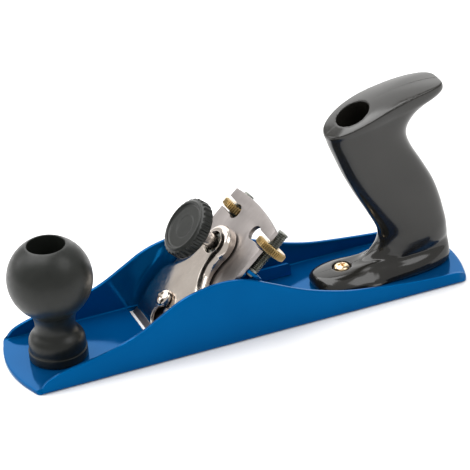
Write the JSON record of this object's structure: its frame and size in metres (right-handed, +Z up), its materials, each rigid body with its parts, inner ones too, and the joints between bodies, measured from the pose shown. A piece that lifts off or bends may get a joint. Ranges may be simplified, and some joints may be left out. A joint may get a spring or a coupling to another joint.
{
  "type": "hand plane",
  "caption": "Pressed-steel smoothing plane with arched side walls, ball knob, hooked rear handle, lever cap and twin-nut cutter adjuster.",
  "frame": {"origin": "centre of the sole's outline, on the plane that the sole rests on", "axes": "+X along the body from toe to heel, +Z up from the sole, +Y across the body"},
  "size_m": [0.2338, 0.0604, 0.1005],
  "materials": {
    "blue_paint": "gloss stove enamel on pressed steel",
    "satin_black": "satin moulded black plastic",
    "gloss_black": "gloss moulded black plastic",
    "ground_steel": "ground and hardened tool steel",
    "chrome": "bright plated pressed steel",
    "dark_zinc": "dark plated threaded steel",
    "brass": "turned and knurled brass",
    "brassed_steel": "yellow plated steel screw",
    "zinc": "bright zinc plated steel"
  },
  "bodies": {
    "plane": {"plane_body": "blue_paint", "frog": "blue_paint", "frog_rivet_1": "blue_paint", "frog_rivet_2": "blue_paint", "frog_rivet_3": "blue_paint", "frog_rivet_4": "blue_paint", "front_knob": "satin_black", "knob_bolt": "zinc", "knob_washer": "zinc", "knob_nut": "zinc", "rear_handle": "gloss_black", "handle_bolt": "zinc", "handle_washer": "zinc", "handle_nut": "zinc", "handle_foot_screw": "brassed_steel", "adjuster_stud_right": "dark_zinc", "adjuster_stud_left": "dark_zinc", "lever_cap_screw": "chrome", "lever_cap_screw_nut": "zinc"},
    "cutter": {"cutter": "ground_steel"},
    "nut_right": {"adjuster_nut_right": "brass"},
    "nut_left": {"adjuster_nut_left": "brass"},
    "lever_cap": {"lever_cap": "chrome", "thumb_screw_nut": "zinc"},
    "thumb_screw": {"thumb_screw_shank": "chrome"},
    "thumb_knob": {"thumb_knob": "satin_black"}
  },
  "joints": [
    {"name": "cutter_travel", "type": "slide", "parent": "plane", "child": "cutter", "axis": [0.7455, 0, 0.6665], "range_m": [-0.0012, 0.0012]},
    {"name": "nut_right_spin", "type": "hinge", "parent": "cutter", "child": "nut_right", "pos_m": [0.01275, 0.022, 0.043], "axis": [0.7455, 0, 0.6665], "range_deg": [-540, 540]},
    {"name": "nut_left_spin", "type": "hinge", "parent": "cutter", "child": "nut_left", "pos_m": [0.01275, -0.022, 0.043], "axis": [0.7455, 0, 0.6665], "range_deg": [-540, 540]},
    {"name": "lever_cap_slide", "type": "slide", "parent": "plane", "child": "lever_cap", "axis": [0.7455, 0, 0.6665], "range_m": [0, 0.0095]},
    {"name": "thumb_screw_travel", "type": "slide", "parent": "lever_cap", "child": "thumb_screw", "axis": [-0.7349, 0, 0.6782], "range_m": [0, 0.004]},
    {"name": "thumb_knob_spin", "type": "hinge", "parent": "thumb_screw", "child": "thumb_knob", "pos_m": [-0.00905, 0, 0.04203], "axis": [-0.7349, 0, 0.6782], "range_deg": [0, 1440]}
  ],
  "couplings": [
    {"joint": "nut_left_spin", "follows": "cutter_travel", "rad_per_m": 7853.8},
    {"joint": "nut_right_spin", "follows": "cutter_travel", "rad_per_m": 7853.8},
    {"joint": "thumb_knob_spin", "follows": "thumb_screw_travel", "rad_per_m": 6283.1}
  ]
}
